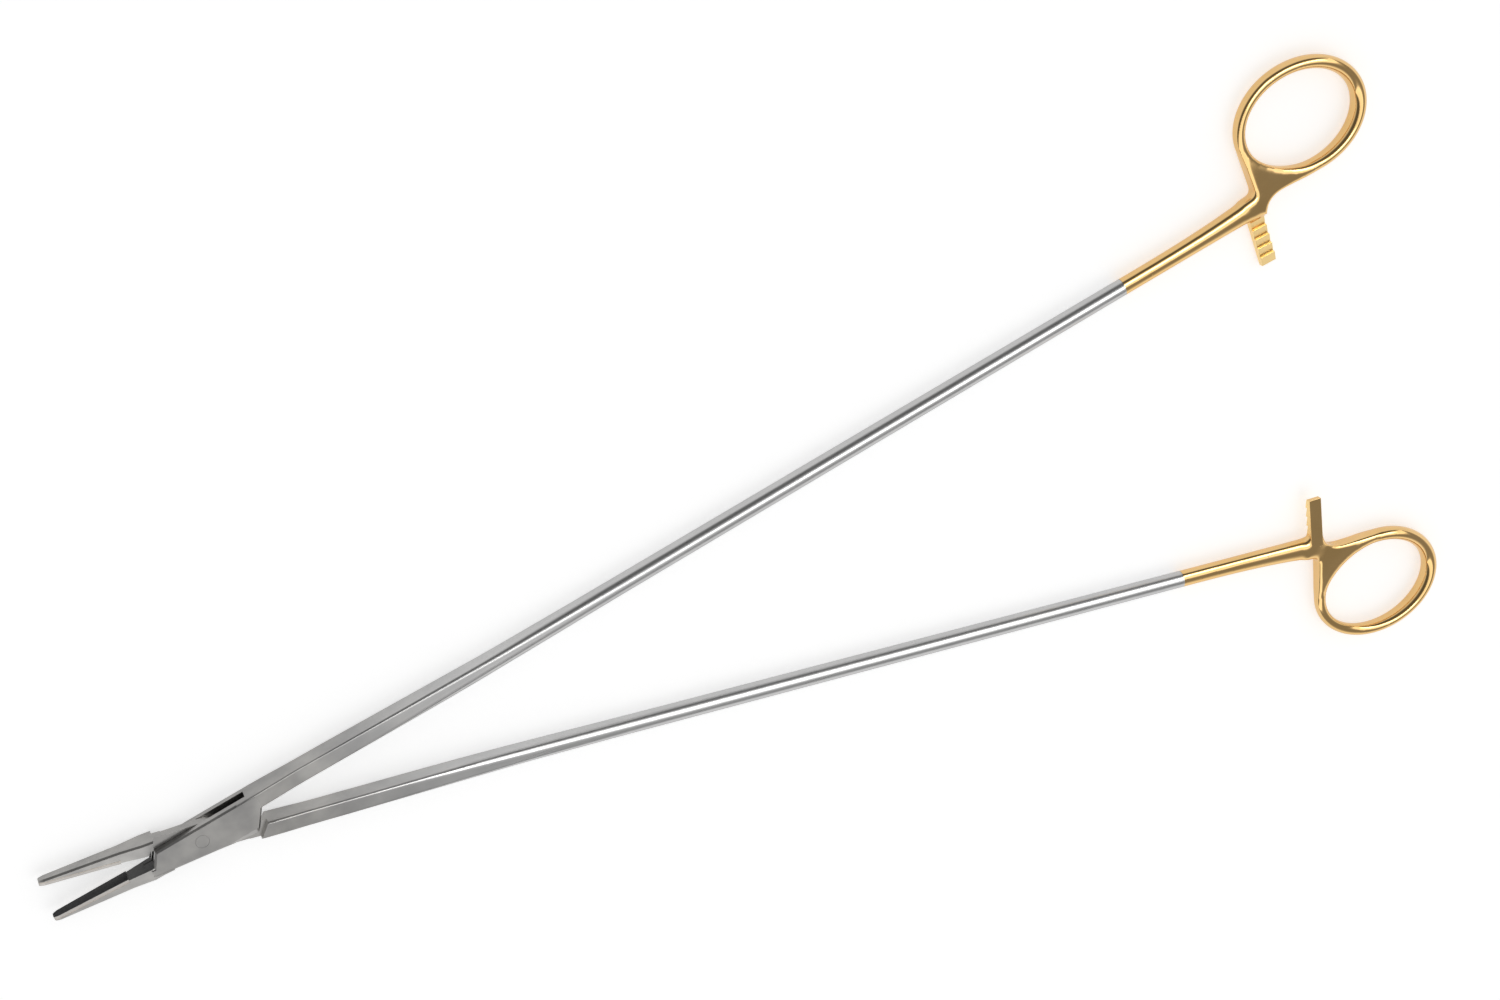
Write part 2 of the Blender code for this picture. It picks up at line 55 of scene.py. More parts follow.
# The strip lamp that the metal mirrors: it hangs overhead, and its edges lean this far from upright, in
# degrees
STRIP_ALONG = (0.866, 0.5, 0.0)
STRIP_ACROSS = (-0.5, 0.866, 0.0)
STRIP_LEANS = (-7, 8)
STRIP_HEIGHT = 3.0
STRIP_REACH = (0.25, 5.0)
STRIP_LEVEL = 4.0

# The studio walls that the metal mirrors: their lean from upright across the strip, in degrees, and how
# bright they are there
WALLS = (
    (-90, 1.1), (-66, 1.2), (-56, 0.70), (-47, 0.36), (-42, 0.31), (-30, 0.32), (-25, 0.62),
    (-21, 1.7), (-10, 1.5), (12, 1.4), (18, 0.8), (29, 0.14), (62, 0.12), (74, 0.7), (90, 1.0),
)
RIGHT_ANGLE = 90
RAMP_MIDDLE = 0.5

# The light on the floor, and the floor
AMBIENT = 0.50
KEY_POWER = 1.6
KEY_PLACE = (0.35, -0.50, 1.2)
KEY_SIZE = 0.9
FLOOR_HALF = 4.0
FLOOR_Z = -0.00005
FLOOR_COLOUR = (0.86, 0.86, 0.86, 1)
FLOOR_ROUGH = 0.9
FLOOR_LIFT = 0.525
WHITE = (1, 1, 1, 1)

# How the halves lie and where the shank's line runs, as in part.py
MID_Z = 0.0030
OPEN_HALF_ANGLE = math.radians(6.8)
SHANK_ANGLE = math.radians(2.55)
SHANK_OFFSET = 0.00037

# The handles' places, rings and ratchet bars, as in part.py
RATCHET_X = 0.2796
PLATED_LENGTH = 0.0373
PLATING_X = RATCHET_X - PLATED_LENGTH
RING_REACH = 0.0172
RING_CENTRE_Y = 0.0284
RING_CENTRE = np.array((RATCHET_X + RING_REACH, RING_CENTRE_Y))
RING_LONG_RADIUS = 0.0161
RING_SHORT_RADIUS = 0.01264
RING_TILT = math.radians(-4.8)
RING_BAND_HEIGHT = 0.0048
RING_BAND_TAPER = 0.12
RATCHET_THICKNESS = 0.0021
RATCHET_MESH_GAP = 0.0001
TOOTH_PITCH = 0.00245
Ratchet = namedtuple("Ratchet", "width tip_y tooth_count")
BOX_RATCHET = Ratchet(width=0.0039, tip_y=-0.0022, tooth_count=5)
TONGUE_RATCHET = Ratchet(width=0.0034, tip_y=-0.0003, tooth_count=4)

# The handles' finer shape, which is rounder than part.py's: ring band, neck, web between them, and teeth
RING_BAND_WIDTH = 0.00356
OVAL_PASSES = 4
NECK_DIAMETER = 0.0041
NECK_LEAD = 0.001
NECK_END_LEAD = 0.0015
NECK_END_X = RATCHET_X - NECK_END_LEAD
NECK_FLARE = 0.0007
NECK_FLARE_POWER = 3
WEB_HEIGHT = 0.0048
WEB_END_HEIGHT = 0.0020
WEB_EDGE = 0.0010
WEB_REACH = 0.0006
WEB_NEAR_ANGLE = math.radians(184)
WEB_FAR_ANGLE = math.radians(286)
WEB_LOW_ANGLE = math.radians(275)
WEB_LOW_EDGE = 0.0012
WEB_NEAR_LEAD = 0.0006
WEB_NEAR_FILLET = 0.0029
WEB_FAR_FILLET = 0.0060
WEB_FAR_KNEE = 0.0012
WEB_STEPS = 12
WEB_ROUND = 0.0009
RATCHET_ROUND = 0.00025
TOOTH_NOTCH = 0.0023
TOOTH_DEPTH = 0.00065
TOOTH_EDGE = 0.00015
TOOTH_INSET = 0.00003

# How the handle's forms run together, and the flat that is ground where they meet
RING_FILLET = 0.0022
RING_FILLET_LEAST = 0.01
NECK_FILLET = 0.0026
RATCHET_FILLET = 0.0018
FLAT_TOP = RATCHET_MESH_GAP + RATCHET_THICKNESS
FLAT_EDGE = 0.0012
FLAT_LEAD = 0.006
FLAT_RISE = 0.1

# How the handle's skin is made
SKIN_STEP = 0.0003
SKIN_MARGIN = 0.0012
SKIN_PASSES = 5
CELL_CORNERS = 8
NUDGES_PER_STEP = 20
LEAST_SLOPE = 0.01
LEAST_MOVE = 1e-12

# The carbide inserts, as in part.py
JAW_TIP_X = -0.0352
JAW_TIP_HEIGHT = 0.0026
JAW_NOSE_LENGTH = 0.0012
JAW_NOSE_START = 0.55
INSERT_END_X = -0.0176
INSERT_END_HEIGHT = 0.0041
INSERT_THICKNESS = 0.0006
GRIP_GAP = 0.0001

# The cross-cut of the grip faces
CUT_STEP = 0.00022
CUT_DEPTH = 0.00012

# The forgings: how far the jaw roots stand out, how the edges are broken, and the jaw faces behind the
# inserts, painted dark as the shade between the jaws
JAW_SWELL_X = -0.0124
JAW_ROOT_X = -0.0080
BOX_JAW_LIMIT = 0.0030
TONGUE_JAW_LIMIT = 0.0034
WELD_DISTANCE = 0.000002
FLAT_ANGLE = math.radians(0.3)
EDGE_BREAK = 0.00009
EDGE_STEPS = 2
EDGE_ANGLE = math.radians(24)
EDGE_PROFILE = 0.5
SMOOTH_ANGLE = math.radians(30)
FACE_WEIGHT = 100
GRIP_SHADE_FACING = 0.9
GRIP_SHADE_END_X = -0.0085

# Noise in the finishes: most of what it gives lies between these ends, and even noise isn't stretched
NOISE_LOW = 0.3
NOISE_HIGH = 0.7
EVEN = (1, 1, 1)
BLOTCH_SCALE = 120
BLOTCH_DETAIL = 3.0
GRAIN_DETAIL = 5
BUMP_STRENGTH = 0.25

# Finishes: tones, least and most roughness, and the grain's fineness, stretch and depth; some tones paint
# shade or sheen, as marked below
Finish = namedtuple("Finish", "dark light rough grain stretch depth")
# Near-black steel for the jaw faces behind the inserts: painted shade from between the jaws
GRIP_SHADE_STEEL = Finish((0.05, 0.05, 0.05), (0.075, 0.075, 0.074), (0.35, 0.45), 3000, EVEN, 0.000004)
GOLD_PLATE = Finish((0.735, 0.475, 0.192), (0.775, 0.51, 0.222), (0.07, 0.11), 1500, (0.2, 1, 1), 0.000001)
# Rough cut gold for the ratchet teeth, paler than the plate: partly painted sheen on the teeth
CUT_GOLD_SHEEN = Finish((0.88, 0.64, 0.28), (0.93, 0.69, 0.32), (0.32, 0.38), 3000, EVEN, 0.000002)
CARBIDE = Finish((0.05, 0.05, 0.052), (0.09, 0.09, 0.09), (0.4, 0.55), 4000, EVEN, 0.00001)
GROUND_CARBIDE = Finish((0.42, 0.40, 0.38), (0.50, 0.48, 0.455), (0.28, 0.38), 6000, EVEN, 0.000001)
BRAZE = Finish((0.45, 0.40, 0.35), (0.55, 0.49, 0.43), (0.25, 0.35), 2500, EVEN, 0.000002)

# The forged steel, satin at the box and polished along the shanks, and where one runs into the other; the
# satin's darker tone partly paints the shade the box and jaws mirror
STEEL_GRAIN = 2500
STEEL_GRAIN_DEPTH = 0.000001
STEEL_GRAIN_STRETCH = (0.02, 1, 1)
# Darker satin tones: partly the satin finish, partly painted shade on the box and jaws
SATIN_AND_SHADE_COLOURS = ((0.27, 0.266, 0.262), (0.42, 0.41, 0.392))
SATIN_ROUGH = (0.29, 0.31)
POLISHED_COLOURS = ((0.49, 0.49, 0.488), (0.525, 0.523, 0.518))
POLISHED_ROUGH = (0.27, 0.29)
POLISH_START_X = 0.015
POLISH_END_X = 0.075


def between(a, b, share):
    """The value that lies a share of the way from a to b."""
    return a + (b - a) * share


def add_piece(name, mesh, materials, body, node):
    """A shown piece that rides on a body and stands for a CAD node."""
    obj = bpy.data.objects.new(name, mesh)
    bpy.context.scene.collection.objects.link(obj)
    for material in materials:
        mesh.materials.append(material)
    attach(obj, body)
    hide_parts(node)
    return obj


# Fields: each gives how far points lie outside a solid, and is negative inside it

def smooth_join(a, b, fillet_radius):
    """Both solids in one, with a fillet of about that radius where they meet."""
    share = np.clip(0.5 + 0.5 * (b - a) / fillet_radius, 0, 1)
    return between(b, a, share) - fillet_radius * share * (1 - share)


def smooth_meet(a, b, edge_radius):
    """What both solids share, with its edge rounded by about that radius."""
    return -smooth_join(-a, -b, edge_radius)


def outline_field(points, outline):
    """A flat outline of any shape, seen from above."""
    nearest = np.full(len(points), np.inf)
    inside = np.zeros(len(points), bool)
    for start, end in zip(outline, np.roll(outline, -1, 0)):
        along = end - start
        place = points[:, :2] - start
        share = np.clip(place @ along / (along @ along), 0, 1)
        nearest = np.minimum(nearest, ((place - share[:, None] * along) ** 2).sum(1))
        crosses = (start[1] > points[:, 1]) != (end[1] > points[:, 1])
        rise = along[1] if along[1] else 1
        inside ^= crosses & (place[:, 0] < along[0] * place[:, 1] / rise)
    return np.where(inside, -1, 1) * np.sqrt(nearest)


def plate_field(points, outline, low, high, rounding):
    """An outline standing from height low to height high, with rounded edges."""
    flat = outline_field(points, outline) + rounding
    upright = np.abs(points[:, 2] - (low + high) / 2) - (high - low) / 2 + rounding
    outside = np.hypot(np.maximum(flat, 0), np.maximum(upright, 0))
    return outside + np.minimum(np.maximum(flat, upright), 0) - rounding


def ring_frame():
    """The ring's long and short way as a turn of the plane."""
    return np.array((
        (math.cos(RING_TILT), -math.sin(RING_TILT)),
        (math.sin(RING_TILT), math.cos(RING_TILT)),
    ))


def ring_point(angle, grow=0):
    """A point on the ring's middle line, moved outwards by grow."""
    flat = np.array((
        (RING_LONG_RADIUS + grow) * math.cos(angle),
        (RING_SHORT_RADIUS + grow) * math.sin(angle),
    ))
    return RING_CENTRE + ring_frame() @ flat


def oval_place(points):
    """How far points lie outside the ring's middle line, seen from above, and their angle along it."""
    place = (points[:, :2] - RING_CENTRE) @ ring_frame()
    radii = np.array((RING_LONG_RADIUS, RING_SHORT_RADIUS))
    angle = np.arctan2(place[:, 1] / radii[1], place[:, 0] / radii[0])
    for _ in range(OVAL_PASSES):
        turn = np.stack((np.cos(angle), np.sin(angle)), 1)
        on_oval = turn * radii
        tangent = np.stack((-turn[:, 1], turn[:, 0]), 1) * radii
        angle += ((place - on_oval) * tangent).sum(1) / (tangent**2).sum(1)
    outward = np.where(((place / radii) ** 2).sum(1) > 1, 1, -1)
    return outward * np.linalg.norm(place - on_oval, axis=1), angle


def ring_field(points, outward, angle):
    """The finger ring: an oval section along an oval, heavier at its far end."""
    size = 1 - RING_BAND_TAPER * (1 - np.cos(angle))
    upright = points[:, 2] * RING_BAND_WIDTH / RING_BAND_HEIGHT
    return np.hypot(outward, upright) - size * RING_BAND_WIDTH / 2


def shank_y(x):
    """Where the shank's line runs at a place along the instrument."""
    return SHANK_OFFSET + math.tan(SHANK_ANGLE) * x


def neck_field(points):
    """A round bar along the shank's line from before the plating line, which flares towards the ring."""
    lead = NECK_LEAD * np.array((math.cos(SHANK_ANGLE), math.sin(SHANK_ANGLE)))
    start = np.array((PLATING_X, shank_y(PLATING_X))) - lead
    run = np.array((NECK_END_X, shank_y(NECK_END_X))) - start
    share = np.clip((points[:, :2] - start) @ run / (run @ run), 0, 1)
    flare = NECK_FLARE * share**NECK_FLARE_POWER
    aside = points[:, :2] - start - share[:, None] * run
    aside[:, 1] -= flare
    return np.hypot(np.linalg.norm(aside, axis=1), points[:, 2]) - NECK_DIAMETER / 2 - flare


def fillet(start, knee, end):
    """Points on a curve that leaves start towards knee and reaches end from it."""
    start, knee, end = np.array(start), np.array(knee), np.array(end)
    shares = np.linspace(0, 1, WEB_STEPS)
    return [between(between(start, knee, share), between(knee, end, share), share) for share in shares]


def web_outline(width):
    """The flare that fills the corners between shank, ratchet bar and ring."""
    axis_y = shank_y(RATCHET_X)
    neck_top = axis_y + NECK_DIAMETER / 2
    near_x = RATCHET_X + WEB_NEAR_LEAD
    right = RATCHET_X + width / 2
    far_y = ring_point(WEB_LOW_ANGLE, WEB_LOW_EDGE)[1]
    outline = [np.array((near_x - WEB_NEAR_FILLET, axis_y))]
    outline += fillet(
        (right, axis_y - NECK_DIAMETER / 2), (right + WEB_FAR_KNEE, far_y), (right + WEB_FAR_FILLET, far_y),
    )
    outline.append(ring_point(WEB_FAR_ANGLE, WEB_EDGE))
    for share in np.linspace(0, 1, WEB_STEPS):
        reach = WEB_REACH * math.sin(math.pi * share)
        outline.append(ring_point(between(WEB_FAR_ANGLE, WEB_NEAR_ANGLE, share), -reach))
    outline.append(ring_point(WEB_NEAR_ANGLE, WEB_EDGE))
    outline += fillet(
        (near_x, neck_top + WEB_NEAR_FILLET), (near_x, neck_top), (near_x - WEB_NEAR_FILLET, neck_top),
    )
    return np.array(outline)


def ratchet_root(width, start_y):
    """The bar's root between the last tooth and the shank, seen from above."""
    left = RATCHET_X - width / 2
    right = RATCHET_X + width / 2
    root_y = shank_y(RATCHET_X)
    return np.array(((left, start_y), (right, start_y), (right, root_y), (left, root_y)))


def handle_field(points, width, root_start, top, bottom):
    """Ring, shank end, flare and ratchet bar, run together with fillets and ground flat where they meet."""
    outward, angle = oval_place(points)
    ring = ring_field(points, outward, angle)
    neck = np.maximum(neck_field(points), -outward)
    bar = plate_field(points, ratchet_root(width, root_start), bottom, top, RATCHET_ROUND)
    along_web = (angle % math.tau - WEB_NEAR_ANGLE) / (WEB_FAR_ANGLE - WEB_NEAR_ANGLE)
    from_ends = np.sin(math.pi * np.clip(along_web, 0, 1))
    ring_fillet = RING_FILLET * np.maximum(from_ends, RING_FILLET_LEAST)
    half_height = between(WEB_END_HEIGHT, WEB_HEIGHT, np.sqrt(from_ends)) / 2
    web = plate_field(points, web_outline(width), -half_height, half_height, WEB_ROUND)
    solid = smooth_join(neck, smooth_join(web, ring, ring_fillet), NECK_FILLET)
    solid = smooth_join(solid, bar, RATCHET_FILLET)
    past = np.maximum(points[:, 0] - RING_CENTRE[0] + FLAT_LEAD, 0)
    return smooth_meet(solid, np.abs(points[:, 2]) - FLAT_TOP - FLAT_RISE * past, FLAT_EDGE)


def skin(name, field, low, high, step):
    """A mesh of quads on the surface where a field is zero."""
    axes = [np.arange(a, b + step, step) for a, b in zip(low, high)]
    shape = tuple(len(axis) for axis in axes)
    grid = np.stack(np.meshgrid(*axes, indexing="ij"), -1).reshape(-1, 3)
    inside = (field(grid) < 0).reshape(shape)
    cells = tuple(size - 1 for size in shape)
    corners = np.zeros(cells, int)
    for i, j, k in np.ndindex(2, 2, 2):
        corners += inside[i:i + cells[0], j:j + cells[1], k:k + cells[2]]
    crossed = (corners > 0) & (corners < CELL_CORNERS)
    number = np.full(cells, -1)
    number[crossed] = np.arange(crossed.sum())
    points = np.array(low) + (np.argwhere(crossed) + 0.5) * step
    faces = []
    for axis in range(3):
        first, second = (axis + 1) % 3, (axis + 2) % 3
        before = np.take(inside, range(shape[axis] - 1), axis)
        after = np.take(inside, range(1, shape[axis]), axis)
        for place in np.argwhere(before != after):
            around = []
            for a, b in ((1, 1), (0, 1), (0, 0), (1, 0)):
                cell = place.copy()
                cell[first] -= a
                cell[second] -= b
                around.append(number[tuple(cell)])
            faces.append(around if before[tuple(place)] else around[::-1])
    for _ in range(SKIN_PASSES):
        points = onto_surface(points, field, step)
    mesh = bpy.data.meshes.new(name)
    mesh.from_pydata(points.tolist(), [], [list(map(int, face)) for face in faces])
    return mesh


def onto_surface(points, field, step):
    """Points moved along the field's slope to where it is zero, by a step at most."""
    nudge = step / NUDGES_PER_STEP
    slope = np.empty_like(points)
    for axis in range(3):
        shift = np.zeros(3)
        shift[axis] = nudge
        slope[:, axis] = (field(points + shift) - field(points - shift)) / (2 * nudge)
    value = field(points)
    move = slope * (value / np.maximum((slope**2).sum(1), LEAST_SLOPE))[:, None]
    length = np.linalg.norm(move, axis=1, keepdims=True)
    return points - move * np.minimum(1, step / np.maximum(length, LEAST_MOVE))


def swing(mesh, side):
    """Takes a mesh from the shut frame to where its half lies open."""
    mesh.transform(Matrix.Diagonal((1, side, 1, 1)))
    if side < 0:
        mesh.flip_normals()
    mesh.transform(Matrix.Translation((0, 0, MID_Z)) @ Matrix.Rotation(side * OPEN_HALF_ANGLE, 4, "Z"))


def trim(mesh):
    """Cuts the handle off square at the plating line and closes the end."""
    builder = bmesh.new()
    builder.from_mesh(mesh)
    geometry = builder.verts[:] + builder.edges[:] + builder.faces[:]
    cut = bmesh.ops.bisect_plane(
        builder, geom=geometry, plane_co=(PLATING_X, 0, 0), plane_no=(1, 0, 0), clear_inner=True,
    )
    rim = [item for item in cut["geom_cut"] if isinstance(item, bmesh.types.BMEdge)]
    bmesh.ops.holes_fill(builder, edges=rim)
    builder.to_mesh(mesh)
    builder.free()


def add_teeth(mesh, width, tip_y, count, near, far):
    """Adds the toothed bar: each tooth's slope faces the tip, and the first one bevels the tip itself.

    The bar is a hair slimmer than its root in the skin, so that no two faces lie on each other. The cut side
    of it has the second material, a paler gold that paints the sheen on the teeth.
    """
    inset = math.copysign(TOOTH_INSET, far - near)
    near, far = near + inset, far - inset
    half_width = width / 2 - TOOTH_INSET
    floor = near + math.copysign(TOOTH_DEPTH, far - near)
    profile = []
    for number in range(count):
        start = tip_y + number * TOOTH_PITCH
        profile += [(start, floor), (start + TOOTH_NOTCH, near), (start + TOOTH_PITCH, near)]
    root_y = shank_y(RATCHET_X)
    profile[-1] = (root_y, near)
    profile += [(root_y, far), (tip_y, far)]
    bar = bmesh.new()
    ends = [
        [bar.verts.new((x, y, z)) for y, z in profile]
        for x in (RATCHET_X - half_width, RATCHET_X + half_width)
    ]
    bar.faces.new(ends[0])
    bar.faces.new(ends[1])
    for k in range(len(profile)):
        after = (k + 1) % len(profile)
        bar.faces.new((ends[0][k], ends[0][after], ends[1][after], ends[1][k]))
    bmesh.ops.recalc_face_normals(bar, faces=bar.faces)
    bmesh.ops.bevel(
        bar, geom=bar.edges, offset=TOOTH_EDGE, segments=EDGE_STEPS, profile=EDGE_PROFILE,
        affect="EDGES", clamp_overlap=True,
    )
    for face in bar.faces:
        # The toothed side gets the paler gold with its painted sheen
        face.material_index = int((face.calc_center_median().z - floor) * inset < 0)
    bar.from_mesh(mesh)
    bar.to_mesh(mesh)
    bar.free()


def make_handle(name, side, ratchet, gold, cut_gold_sheen, body):
    """The plated end of one half: a skin over its fused forms, with the exact toothed bar added to it."""
    width, tip_y, tooth_count = ratchet
    near = -side * RATCHET_MESH_GAP
    far = near - side * RATCHET_THICKNESS
    root_start = tip_y + (tooth_count - 1) * TOOTH_PITCH + TOOTH_NOTCH
    reach = RING_LONG_RADIUS + RING_BAND_WIDTH + SKIN_MARGIN
    start = PLATING_X - NECK_LEAD - NECK_DIAMETER / 2
    low = (start - SKIN_MARGIN, root_start - SKIN_MARGIN, -RING_BAND_HEIGHT / 2 - SKIN_MARGIN)
    high = (RING_CENTRE[0] + reach, RING_CENTRE[1] + reach, RING_BAND_HEIGHT / 2 + SKIN_MARGIN)
    top, bottom = max(near, far), min(near, far)

    def field(points):
        return handle_field(points, width, root_start, top, bottom)

    mesh = skin(name, field, low, high, SKIN_STEP)
    trim(mesh)
    mesh.shade_smooth()
    mesh.set_sharp_from_angle(angle=SMOOTH_ANGLE)
    add_teeth(mesh, width, tip_y, tooth_count, near, far)
    swing(mesh, side)
    add_piece(name + "_gold", mesh, (gold, cut_gold_sheen), body, name)


def ease_jaw_root(builder, side):
    """Draws the outer corner of the jaw's root in to the line of the box beside it."""
    limit = BOX_JAW_LIMIT if side > 0 else TONGUE_JAW_LIMIT
    shut = Matrix.Rotation(-side * OPEN_HALF_ANGLE, 3, "Z")
    for vert in builder.verts:
        place = shut @ vert.co
        excess = -side * place.y - limit
        if JAW_SWELL_X < place.x < JAW_ROOT_X + WELD_DISTANCE and excess > 0:
            place.y += side * excess
            vert.co = shut.inverted() @ place


def make_forging(node, side, steel, grip_shade, body):
    """The steel of one half, as the CAD has it, with every sharp edge broken a little.

    The jaw's face behind the insert gets a near-black steel that paints the shade between the jaws.
    """
    grip_way = Matrix.Rotation(side * OPEN_HALF_ANGLE, 3, "Z") @ Vector((0, side, 0))
    builder = bmesh.new()
    builder.from_mesh(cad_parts[node].data)
    bmesh.ops.remove_doubles(builder, verts=builder.verts, dist=WELD_DISTANCE)
    ease_jaw_root(builder, side)
    bmesh.ops.dissolve_limit(
        builder, angle_limit=FLAT_ANGLE, verts=builder.verts, edges=builder.edges,
    )
    for face in builder.faces:
        middle = face.calc_center_median()
        # Faces behind the insert that look towards the other jaw get the painted shade
        if face.normal.dot(grip_way) > GRIP_SHADE_FACING and INSERT_END_X < middle.x < GRIP_SHADE_END_X:
            face.material_index = 1
    mesh = bpy.data.meshes.new(node + "_steel")
    builder.to_mesh(mesh)
    builder.free()
    mesh.shade_smooth()
    piece = add_piece(node + "_steel", mesh, (steel, grip_shade), body, node)
    edges = piece.modifiers.new("broken_edges", "BEVEL")
    edges.width = EDGE_BREAK
    edges.segments = EDGE_STEPS
    edges.limit_method = "ANGLE"
    edges.angle_limit = EDGE_ANGLE
    edges.miter_outer = "MITER_ARC"
    normals = piece.modifiers.new("flat_faces", "WEIGHTED_NORMAL")
    normals.weight = FACE_WEIGHT


def insert_height(x):
    """How tall the grip face stands at a place along the jaw."""
    height = between(JAW_TIP_HEIGHT, INSERT_END_HEIGHT, (x - JAW_TIP_X) / (INSERT_END_X - JAW_TIP_X))
    from_tip = min((x - JAW_TIP_X) / JAW_NOSE_LENGTH, 1)
    return height * between(JAW_NOSE_START, 1, math.sqrt(max(from_tip, 0)))


def make_insert(node, side, carbide, ground, body):
    """A carbide strip: its grip face is cross-cut into small pyramids, the rest is ground smooth."""
    columns = round((INSERT_END_X - JAW_TIP_X) / CUT_STEP)
    rows = 2 * round(INSERT_END_HEIGHT / CUT_STEP / 2)
    face_y = -GRIP_GAP / 2
    builder = bmesh.new()
    front, back = [], []
    for i in range(columns + 1):
        x = between(JAW_TIP_X, INSERT_END_X, i / columns)
        height = insert_height(x)
        front.append([])
        back.append([])
        for j in range(rows + 1):
            z = height * (j / rows - 0.5)
            on_rim = i in (0, columns) or j in (0, rows)
            depth = 0 if on_rim else CUT_DEPTH * ((i + j) % 2)
            front[i].append(builder.verts.new((x, face_y - depth, z)))
            back[i].append(builder.verts.new((x, face_y - INSERT_THICKNESS, z)))
    for i in range(columns):
        for j in range(rows):
            square = [front[i][j], front[i + 1][j], front[i + 1][j + 1], front[i][j + 1]]
            low = (i + j + 1) % 2
            ring = square[low:] + square[:low]
            builder.faces.new((ring[0], ring[1], ring[2]))
            builder.faces.new((ring[0], ring[2], ring[3]))
            rear = builder.faces.new((back[i][j], back[i][j + 1], back[i + 1][j + 1], back[i + 1][j]))
            rear.material_index = 1
    rims = (
        ([row[0] for row in front], [row[0] for row in back]),
        ([row[-1] for row in front], [row[-1] for row in back]),
        (front[0], back[0]),
        (front[-1], back[-1]),
    )
    for near_rim, far_rim in rims:
        for k in range(len(near_rim) - 1):
            wall = builder.faces.new((near_rim[k], near_rim[k + 1], far_rim[k + 1], far_rim[k]))
            wall.material_index = 1
    bmesh.ops.recalc_face_normals(builder, faces=builder.faces)
    mesh = bpy.data.meshes.new(node + "_cut")
    builder.to_mesh(mesh)
    builder.free()
    swing(mesh, side)
    add_piece(node + "_cut", mesh, (carbide, ground), body, node)


def new_material(name, metallic, roughness):
    """A material with its node tree and its shader."""
    material = bpy.data.materials.new(name)
    material.use_nodes = True
    tree = material.node_tree
    shader = tree.nodes["Principled BSDF"]
    shader.inputs["Metallic"].default_value = metallic
    shader.inputs["Roughness"].default_value = roughness
    return material, tree, shader


def noise(tree, scale, stretch, detail):
    """A noise over the object's own metres, drawn out along an axis where its stretch is small."""
    coordinate = tree.nodes.new("ShaderNodeTexCoord")
    mapping = tree.nodes.new("ShaderNodeMapping")
    mapping.inputs["Scale"].default_value = stretch
    texture = tree.nodes.new("ShaderNodeTexNoise")
    texture.inputs["Scale"].default_value = scale
    texture.inputs["Detail"].default_value = detail
    tree.links.new(coordinate.outputs["Object"], mapping.inputs["Vector"])
    tree.links.new(mapping.outputs["Vector"], texture.inputs["Vector"])
    return texture.outputs["Fac"]


def spread(tree, value, low, high):
    """A noise value between its usual ends, spread from low to high."""
    remap = tree.nodes.new("ShaderNodeMapRange")
    remap.inputs["From Min"].default_value = NOISE_LOW
    remap.inputs["From Max"].default_value = NOISE_HIGH
    remap.inputs["To Min"].default_value = low
    remap.inputs["To Max"].default_value = high
    tree.links.new(value, remap.inputs["Value"])
    return remap.outputs["Result"]


def tint(tree, value, dark, light):
    """A colour that runs from dark to light with a value."""
    ramp = tree.nodes.new("ShaderNodeValToRGB")
    ramp.color_ramp.elements[0].position = NOISE_LOW
    ramp.color_ramp.elements[0].color = (*dark, 1)
    ramp.color_ramp.elements[1].position = NOISE_HIGH
    ramp.color_ramp.elements[1].color = (*light, 1)
    tree.links.new(value, ramp.inputs["Fac"])
    return ramp.outputs["Color"]


def bump(tree, shader, value, distance):
    """A relief on the shader's surface that follows a value."""
    node = tree.nodes.new("ShaderNodeBump")
    node.inputs["Strength"].default_value = BUMP_STRENGTH
    node.inputs["Distance"].default_value = distance
    tree.links.new(value, node.inputs["Height"])
    tree.links.new(node.outputs["Normal"], shader.inputs["Normal"])


def metal(name, finish):
    """A metal with blotches of tone, and a fine grain that shows in its gloss and its surface."""
    material, tree, shader = new_material(name, 1, finish.rough[0])
    tone = noise(tree, BLOTCH_SCALE, EVEN, BLOTCH_DETAIL)
    lines = noise(tree, finish.grain, finish.stretch, GRAIN_DETAIL)
    tree.links.new(tint(tree, tone, finish.dark, finish.light), shader.inputs["Base Color"])
    tree.links.new(spread(tree, lines, *finish.rough), shader.inputs["Roughness"])
    bump(tree, shader, lines, finish.depth)
    return material


def satin_to_polish(tree, shader, names, near_values, far_values):
    """Lets the shader's sockets run from their values at the box to those along the shanks."""
    coordinate = tree.nodes.new("ShaderNodeTexCoord")
    split = tree.nodes.new("ShaderNodeSeparateXYZ")
    tree.links.new(coordinate.outputs["Object"], split.inputs["Vector"])
    share = tree.nodes.new("ShaderNodeMapRange")
    share.interpolation_type = "SMOOTHSTEP"
    share.inputs["From Min"].default_value = POLISH_START_X
    share.inputs["From Max"].default_value = POLISH_END_X
    tree.links.new(split.outputs["X"], share.inputs["Value"])
    for name, near_value, far_value in zip(names, near_values, far_values):
        mix = tree.nodes.new("ShaderNodeMix")
        mix.data_type = "RGBA" if name == "Base Color" else "FLOAT"
        sockets = [socket for socket in mix.inputs if socket.enabled]
        tree.links.new(share.outputs["Result"], sockets[0])
        tree.links.new(near_value, sockets[1])
        tree.links.new(far_value, sockets[2])
        result = [socket for socket in mix.outputs if socket.enabled][0]
        tree.links.new(result, shader.inputs[name])


